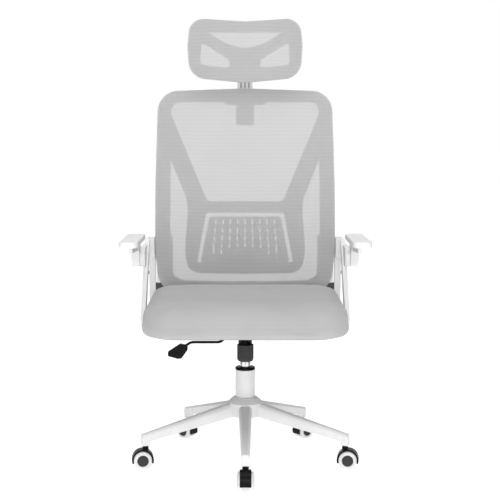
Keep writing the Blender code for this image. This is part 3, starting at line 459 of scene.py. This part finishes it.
def cushion_levels(bottom):
    """The cushion's (height, inset) from its rolled lower edge, past its widest line, to its crown."""
    low_roll, top_roll, widest = (0.027, 0.026, 2.6), (0.0515, 0.056, 3.2), bottom + 0.027
    levels = []
    for share in (1.0, 0.975, 0.88, 0.70, 0.40, 0.0):
        height, reach, power = low_roll
        levels.append((widest - height * share, bulge(share, reach, power)))
    for share in (0.22, 0.42, 0.58, 0.72, 0.82, 0.90, 0.955, 0.985, 1.0):
        height, reach, power = top_roll
        levels.append((widest + 0.0025 + height * share, bulge(share, reach, power)))
    return levels


def seat_cushion():
    """The foam cushion in its knitted cover: crowned, with soft corners and a rolled lower edge."""
    low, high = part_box("seat_cushion")
    board_low, board_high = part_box("seat_board")
    half, middle_y = (high.x - low.x) / 2, (low.y + high.y) / 2
    deep = (high.y - low.y) / 2
    form = bmesh.new()
    rings = []
    for height, inset in cushion_levels(low.z):
        ring = outline_at(half, deep, middle_y, SEAT_INSET + inset, inset * 0.4)
        rings.append([form.verts.new((x, y, height)) for x, y in ring])
    edge = [vert.co.copy() for vert in rings[-1]]
    for share in (0.85, 0.65, 0.40, 0.15):
        rise = CROWN * (1 - share ** 2)
        rings.append([form.verts.new((co.x * share, middle_y + (co.y - middle_y) * share, co.z + rise))
                      for co in edge])
    recess = outline_at(half, deep, middle_y, board_low.x - low.x - 0.0012, 0.022)
    under = [form.verts.new((x, y, low.z)) for x, y in recess]
    roof = [form.verts.new((x, y, board_high.z + 0.0006)) for x, y in recess]
    order = [roof, under] + rings
    for one, two in zip(order, order[1:]):
        for i in range(len(one)):
            j = (i + 1) % len(one)
            form.faces.new((one[i], one[j], two[j], two[i]))
    for ring, centre_z in ((roof, board_high.z + 0.0006), (rings[-1], edge[0].z + CROWN)):
        centre = form.verts.new((0, middle_y, centre_z))
        for i, vert in enumerate(ring):
            form.faces.new((vert, ring[(i + 1) % len(ring)], centre))
    crease = form.edges.layers.float.new("crease_edge")
    for ring in (roof, under):
        for i, vert in enumerate(ring):
            form.edges.get((vert, ring[(i + 1) % len(ring)]))[crease] = 1.0
    piece = add("seat_cushion_cover", to_mesh(form), None, "seat_fabric")
    round_off = piece.modifiers.new("Round", "SUBSURF")
    round_off.levels = round_off.render_levels = 1
    keep_result(piece)
    solved_cushion(piece, low.z + 0.0085, 0.004)
    relax = piece.modifiers.new("Relax", "SMOOTH")
    relax.iterations, relax.factor = 1, 0.5
    finer = piece.modifiers.new("Finer", "SUBSURF")
    finer.levels = finer.render_levels = 1
    keep_result(piece)
    for face in piece.data.polygons:
        face.use_smooth = True
    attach(piece, "seat")
    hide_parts("seat_cushion")
    # A dark cord round the cushion's underside: painted shade for the shadowed roll of its lower edge.
    under_edge_shade_line = [(x, y, low.z + 0.0008) for x, y in outline_at(half, deep, middle_y, 0.0235, 0.006)]
    add("seat_under_edge_shade", smooth_tube(under_edge_shade_line, 0.0015, 8, True), "seat", "seat_fabric", "painted_shade_grey")
    return piece


def keep_result(piece):
    """Makes the piece's mesh what its modifiers give, and drops them."""
    result = piece.evaluated_get(bpy.context.evaluated_depsgraph_get())
    mesh = bpy.data.meshes.new_from_object(result)
    piece.modifiers.clear()
    piece.data = mesh


def outline_at(half, deep, middle_y, inset, tighter):
    """The seat's outline, drawn in by inset, with the same number of points whatever the inset.

    Its corners' radii are the seat's, less the value called tighter."""
    x, y = half - inset, deep - inset
    ring = []
    for side_x, side_y, start in ((1, 1, 0), (-1, 1, 90), (-1, -1, 180), (1, -1, 270)):
        radius = (REAR_CORNER if side_y > 0 else FRONT_CORNER) - tighter
        for step in range(11):
            angle = math.radians(start + 9 * step)
            ring.append(Vector((side_x * (x - radius) + radius * math.cos(angle),
                                middle_y + side_y * (y - radius) + radius * math.sin(angle))))
    points = []
    for i, here in enumerate(ring):
        after = ring[(i + 1) % len(ring)]
        steps = 14 if i % 11 == 10 else 1
        points += [here.lerp(after, step / steps) for step in range(steps)]
    return [(point.x, point.y) for point in points]


def back_surface(x, z):
    lean = BACK_LEAN * (math.hypot(z - BACK_Z, BACK_BEND) - BACK_BEND)
    return BACK_Y + lean - BACK_WRAP * (x / BACK_HALF) ** 2


def head_surface(x, z):
    return HEAD_Y + HEAD_LEAN * (z - HEAD_Z) - HEAD_WRAP * (x / HEAD_HALF) ** 2


def back_outline():
    return rounded(mirrored([(0, 0.9460, 0), (0.2310, 0.9375, 0.056), (0.2365, 0.7000, 0),
                             (0.2375, 0.5200, 0), (0.2260, 0.3920, 0.072)]), 12)


def head_outline():
    return rounded(mirrored([(0, 1.1215, 0), (0.1455, 1.1290, 0.040), (0.1520, 1.0550, 0.100),
                             (0.1465, 0.9720, 0.046), (0, 0.9590, 0)]), 10)


def woven_sheet(name, outline, surface, middle_z, wrap, node, body):
    """One layer of open weave stretched over a frame, with its edge rolled back round the frame's rim."""
    edge = even(outline, 0.009)
    middle = Vector((0, middle_z))
    form = bmesh.new()
    spans = [0.10, 0.20, 0.30, 0.40, 0.50, 0.60, 0.70, 0.78, 0.85, 0.91, 0.955, 0.982]
    rings = [[form.verts.new((0, surface(0, middle_z) + WEAVE_FRONT, middle_z))]]
    for span in spans:
        ring = []
        for point in edge:
            flat = middle.lerp(point, span)
            ring.append(form.verts.new((flat.x, surface(flat.x, flat.y) + WEAVE_FRONT, flat.y)))
        rings.append(ring)
    for share, back in ((0.992, 0.0014), (0.9975, 0.0034), (0.9990, 0.0060), (0.9990, 0.5 * wrap),
                        (0.9990, wrap)):
        ring = []
        for point in edge:
            flat = middle.lerp(point, share)
            ring.append(form.verts.new((flat.x, surface(flat.x, flat.y) + back, flat.y)))
        rings.append(ring)
    count = len(edge)
    for low, high in zip(rings, rings[1:]):
        for i in range(count):
            j = (i + 1) % count
            if len(low) == 1:
                form.faces.new((low[0], high[i], high[j]))
            else:
                form.faces.new((low[i], high[i], high[j], low[j]))
    return add(name, to_mesh(form), body, "back_fabric", replaces=[node])


def back_weave():
    piece = woven_sheet("back_weave", back_outline(), back_surface, 0.670, 0.012, "back_mesh", "seat")


def head_weave():
    piece = woven_sheet("headrest_weave", head_outline(), head_surface, HEAD_Z, 0.012, "headrest_mesh",
                        "headrest")


# ---------------------------------------------------------------- small hard parts

def wheels():
    """Round tyres with a rolled tread, and grey hub caps that sit in them."""
    tyre = turned([(0, 0.0003), (0.0195, 0.0003), (0.0215, 0.0011), (0.0224, 0.0030), (0.0225, 0.0066),
                   (0.0222, 0.0095), (0.0212, 0.0118), (0.0196, 0.0130), (0.0178, 0.0133), (0.0150, 0.0133),
                   (0.0146, 0.0131), (0.0143, 0.0124), (0, 0.0124)], 56)
    cap = turned([(0, 0.0126), (0.0138, 0.0126), (0.0139, 0.0131), (0.0135, 0.0136), (0.0128, 0.0137),
                  (0.0120, 0.0134), (0.0050, 0.0136), (0, 0.0137)], 48)
    for i in range(1, 6):
        boxes = {side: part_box(f"caster_{i}_wheel_{side}") for side in ("left", "right")}
        middles = {side: (low + high) / 2 for side, (low, high) in boxes.items()}
        across = (middles["left"] - middles["right"]).normalized()
        centre = (middles["left"] + middles["right"]) / 2
        for side, way in (("left", 1), ("right", -1)):
            out = across * way
            inner = (middles[side] - centre).length - 0.0133 / 2
            turn = out.to_track_quat("Z", "Y").to_matrix().to_4x4()
            place = Matrix.Translation(centre + out * inner) @ turn
            for part, mesh, slot, material, nodes in (
                    ("tyre", tyre, "white_tyre", None, [f"caster_{i}_wheel_{side}"]),
                    ("cap", cap, "black_plastic", "cap_grey_and_gap_shade", [])):
                piece = add(f"caster_{i}_{side}_{part}", mesh.copy(), None, slot, material)
                piece.matrix_world = place
                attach(piece, f"caster_{i}_{side}_wheel")
                if nodes:
                    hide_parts(*nodes)


def tension_knob():
    """The finely ribbed knob, its bolt, and the coil spring that stretches between it and the pan."""
    low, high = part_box("tension_knob")
    y = (low.y + high.y) / 2
    radius = (high.x - low.x) / 2
    profile = [(0, high.z - 0.0003), (0.0035, high.z - 0.0003), (0.0035, 0.2837), (0.0172, 0.2837),
               (0.0172, 0.3140), (0.0178, 0.3148), (0.0190, 0.3150), (radius - 0.0006, 0.3144),
               (radius, 0.3136), (radius, 0.3118), (radius - 0.0004, 0.3112), (radius - 0.0001, 0.3106),
               (radius - 0.0001, 0.2830), (radius - 0.0003, 0.2790), (radius - 0.0014, 0.2760),
               (radius - 0.0034, 0.2740), (0.0145, 0.2730), (0.0080, 0.2730), (0.0076, 0.2736), (0, 0.2736)]
    mesh = turned(profile, 192, 32, 0.0009, (0.2785, 0.3108))
    piece = add("knob_ribbed", mesh, None, "black_plastic", "knob_grey")
    piece.location = (0, y, 0)
    sharpen(piece)
    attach(piece, "tension_knob")
    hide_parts("tension_knob")
    turns, per_turn, bottom, top = 6.5, 28, 0.2864, 0.3326
    count = int(turns * per_turn)
    coil_radius, wire_radius = 0.0112, 0.0013
    helix = []
    for i in range(count + 1):
        angle = TAU * i / per_turn
        share = min(1.0, max(0.0, (i / per_turn - 0.6) / (turns - 1.2)))
        helix.append((coil_radius * math.cos(angle), y + coil_radius * math.sin(angle),
                      bottom + (top - bottom) * share))
    coil = add("spring_coil", smooth_tube(helix, wire_radius, 10), None, "black_steel")
    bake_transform(coil)
    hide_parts("tension_spring")


def button_head(radius, height):
    """A low domed screw head that stands on z = 0, with a round driver recess."""
    return turned([(0, 0), (radius, 0), (radius, height * 0.35), (radius * 0.80, height * 0.85),
                   (radius * 0.50, height), (radius * 0.46, height), (radius * 0.42, height * 0.45),
                   (0, height * 0.45)], 32)


def fasten(name, mesh, place, way, body, slot, material=None):
    """Sets a turned piece on a surface: its base at place, its axis along way."""
    piece = add(name, mesh, None, slot, material)
    piece.matrix_world = Matrix.Translation(place) @ Vector(way).to_track_quat("Z", "Y").to_matrix().to_4x4()
    sharpen(piece)
    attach(piece, body)


def screws():
    """Screws that hold the arm supports, the back and the tilt plate, and the caps on the arms' pivots."""
    for side, way in (("left", -1), ("right", 1)):
        support_low, support_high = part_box(f"arm_support_{side}")
        outer = max(abs(support_low.x), abs(support_high.x))
        for i, (inset, y, z) in enumerate(((0.0138, 0.1925, 0.4560), (0.0051, 0.1870, 0.5130))):
            fasten(f"back_screw_{side}_{i + 1}", button_head(0.0055, 0.0026),
                   (way * (outer - inset), y, z), (way, 0, 0), "seat", "black_steel")
        for i, (x, y) in enumerate(((0.166, 0.020), (0.166, 0.150), (0.196, 0.085))):
            fasten(f"foot_screw_{side}_{i + 1}", button_head(0.0065, 0.0030),
                   (way * x, y, support_low.z), (0, 0, -1), "seat", "black_steel")
        bracket_low, bracket_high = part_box(f"arm_bracket_{side}")
        pin_low, pin_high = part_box(f"arm_pin_{side}")
        outer = bracket_low.x if way < 0 else bracket_high.x
        middle = (pin_low + pin_high) / 2
        cap = turned([(0, 0), (0.0130, 0), (0.0130, 0.0006), (0.0120, 0.0012), (0.0088, 0.0012),
                      (0.0084, 0.0008), (0, 0.0008)], 40)
        fasten(f"pivot_cap_{side}", cap, (outer, middle.y, middle.z), (way, 0, 0), f"arm_{side}",
               "white_plastic")
    plate_low, plate_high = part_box("tilt_plate")
    ear_drop = 0.0190           # the plate's ears hang this far below its flat
    for i, (x, y) in enumerate(((-1, -1), (1, -1), (1, 1), (-1, 1))):
        place = (x * 0.068, (plate_low.y + plate_high.y) / 2 + y * 0.096, plate_low.z + ear_drop)
        fasten(f"plate_screw_{i + 1}", button_head(0.0065, 0.0030), place, (0, 0, -1), "seat", "black_steel")


def trims():
    """The bead round the column's foot, grey strips in the post's grooves that are painted shade, and dark
    lines behind the meshes' lower edges that are painted shade of the gaps there.
    """
    tube_low, tube_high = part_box("column_tube")
    bead, steps = 0.0026, 64
    radius = (tube_high.x - tube_low.x) / 2 + bead
    _, base_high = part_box("star_base")
    foot = [(radius * math.cos(TAU * i / steps), radius * math.sin(TAU * i / steps), base_high.z + 0.0004)
            for i in range(steps)]
    add("column_bead", smooth_tube(foot, bead, 12, True), "base", "white_paint")
    post_low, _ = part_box("headrest_post")
    # Grey strips at the bottom of the post's grooves: painted shade for the shade inside the grooves.
    strip_top, half_width, thickness = 0.9610, 0.0018, 0.0005
    for i, x in enumerate((-0.0105, 0.0, 0.0105)):
        rise = (post_low.z + 0.001, strip_top)
        near = [post_low.y + 0.0008 + POST_LEAN * (z - post_low.z) for z in rise]
        quad = [(near[0], rise[0]), (near[1], rise[1]), (near[1] + thickness, rise[1]),
                (near[0] + thickness, rise[0])]
        rings = [[(side, y, z) for y, z in quad] for side in (x - half_width, x + half_width)]
        add(f"post_groove_shade_{i + 1}", grid_mesh(rings), "headrest_carrier", "black_plastic",
            "painted_groove_shade", smooth=False)
    # Dark lines behind the back's lower side edges: painted shade for the deep gap between the back and the
    # arm struts.
    low_edge = [point for point in back_outline() if point.y < BACK_Z]
    for side, way in (("left", -1), ("right", 1)):
        run = [(point.x * 0.993, back_surface(point.x, point.y) + 0.0150, point.y)
               for point in even_run(low_edge, 0.008) if point.x * way > 0.190]
        add(f"back_side_gap_shade_{side}", smooth_tube(run, 0.0013, 8), "seat", "black_plastic", "painted_shade_grey")
    # A dark line behind the headrest's lower edge: painted shade for the gap between its mesh and frame.
    head_gap_shade_line = []
    for point in head_outline():
        x, z = point.x * 0.975, HEAD_Z + (point.y - HEAD_Z) * 0.975
        if z < 0.990:
            head_gap_shade_line.append((x, head_surface(x, z) + 0.0144, z))
    add("headrest_gap_shade", smooth_tube(head_gap_shade_line, 0.0013, 8), "headrest", "black_plastic", "cap_grey_and_gap_shade")


def sharpen(piece, angle=35):
    """Splits the shading at edges sharper than the angle."""
    form = bmesh.new()
    form.from_mesh(piece.data)
    for edge in form.edges:
        if edge.calc_face_angle(0) > math.radians(angle):
            edge.smooth = False
    form.to_mesh(piece.data)
    form.free()


# ---------------------------------------------------------------- floor, light and camera

def studio():
    floor = bpy.data.meshes.new("floor")
    floor.from_pydata([(-30, -30, 0), (30, -30, 0), (30, 30, 0), (-30, 30, 0)], [], [(0, 1, 2, 3)])
    ground = bpy.data.objects.new("floor", floor)
    bpy.context.scene.collection.objects.link(ground)
    shade = Shade("floor_paper", Roughness=0.9, Emission_Color=(1, 1, 1, 1), Emission_Strength=0.54)
    shade.feed("Base Color", shade.mixed(shade.noise(3.0), (0.90, 0.90, 0.90), (0.92, 0.92, 0.92)))
    floor.materials.append(shade.material)
    dome()
    flags()


def dome():
    """A white studio that is dimmer to the sides."""
    world = bpy.data.worlds.new("studio")
    bpy.context.scene.world = world
    world.use_nodes = True
    nodes, links = world.node_tree.nodes, world.node_tree.links
    split, side, ramp = (nodes.new("ShaderNode" + kind) for kind in ("SeparateXYZ", "Math", "ValToRGB"))
    links.new(nodes.new("ShaderNodeTexCoord").outputs["Generated"], split.inputs[0])
    side.operation = "ABSOLUTE"
    links.new(split.outputs[0], side.inputs[0])
    links.new(side.outputs[0], ramp.inputs[0])
    stops = ((0.0, 0.84), (0.26, 0.84), (0.36, 0.46), (0.56, 0.40), (0.68, 0.32), (1.0, 0.05))
    while len(ramp.color_ramp.elements) < len(stops):
        ramp.color_ramp.elements.new(0.5)
    for element, (place, level) in zip(ramp.color_ramp.elements, stops):
        element.position = place
        element.color = (level, level, level, 1)
    seen = nodes.new("ShaderNodeMath")
    seen.operation = "MAXIMUM"
    links.new(ramp.outputs[0], seen.inputs[0])
    links.new(nodes.new("ShaderNodeLightPath").outputs["Is Camera Ray"], seen.inputs[1])
    links.new(seen.outputs[0], nodes["Background"].inputs["Strength"])
    nodes["Background"].inputs["Color"].default_value = (1, 1, 1, 1)


def flags():
    """Dark cards that only mirror-like reflections see. They give the polished steel its dark bands."""
    cards = (("flag_middle", (0, -1.2, 0.20), (0.20, 0.40), 0),
             ("flag_left", (-1.2, 0.4, 0.30), (1.8, 0.60), 90),
             ("flag_right", (1.2, 0.4, 0.30), (1.8, 0.60), 90))
    shade = Shade("flag_cloth", Roughness=0.9)
    shade.feed("Base Color", shade.mixed(shade.noise(40.0), (0.010, 0.010, 0.010), (0.016, 0.016, 0.016)))
    for name, place, (width, height), turn in cards:
        mesh = bpy.data.meshes.new(name)
        corners = [(-width / 2, 0, -height / 2), (width / 2, 0, -height / 2), (width / 2, 0, height / 2),
                   (-width / 2, 0, height / 2)]
        mesh.from_pydata(corners, [], [(0, 1, 2, 3)])
        mesh.materials.append(shade.material)
        card = bpy.data.objects.new(name, mesh)
        bpy.context.scene.collection.objects.link(card)
        card.location = place
        card.rotation_euler = (0, 0, math.radians(turn))
        card.visible_camera = card.visible_diffuse = card.visible_shadow = False
        card.visible_transmission = False


def area_light(name, place, aim, size, power):
    data = bpy.data.lights.new(name, "AREA")
    data.shape = "RECTANGLE"
    data.size, data.size_y = size
    data.energy = power
    light = bpy.data.objects.new(name, data)
    bpy.context.scene.collection.objects.link(light)
    light.location = place
    light.rotation_euler = (Vector(aim) - Vector(place)).to_track_quat("-Z", "Y").to_euler()


def camera():
    data = bpy.data.cameras.new("camera")
    data.lens, data.sensor_width = 86.4, 36.0
    data.shift_x = 0.0095
    eye = bpy.data.objects.new("camera", data)
    bpy.context.scene.collection.objects.link(eye)
    eye.location = (-0.008, -2.99, 0.84)
    eye.rotation_euler = (math.radians(84.19), 0, -0.0027)
    bpy.context.scene.camera = eye


# ---------------------------------------------------------------- the whole chair

camera()
studio()
area_light("overhead", (0.0, -0.4, 3.2), (0, 0, 0.4), (3.0, 2.4), 36)
area_light("front", (0.0, -4.2, 1.2), (0, 0, 0.3), (1.6, 1.6), 52)
bpy.context.scene.view_settings.view_transform = "Standard"
dress_cad()
seat_cushion()
back_weave()
head_weave()
wheels()
tension_knob()
screws()
trims()
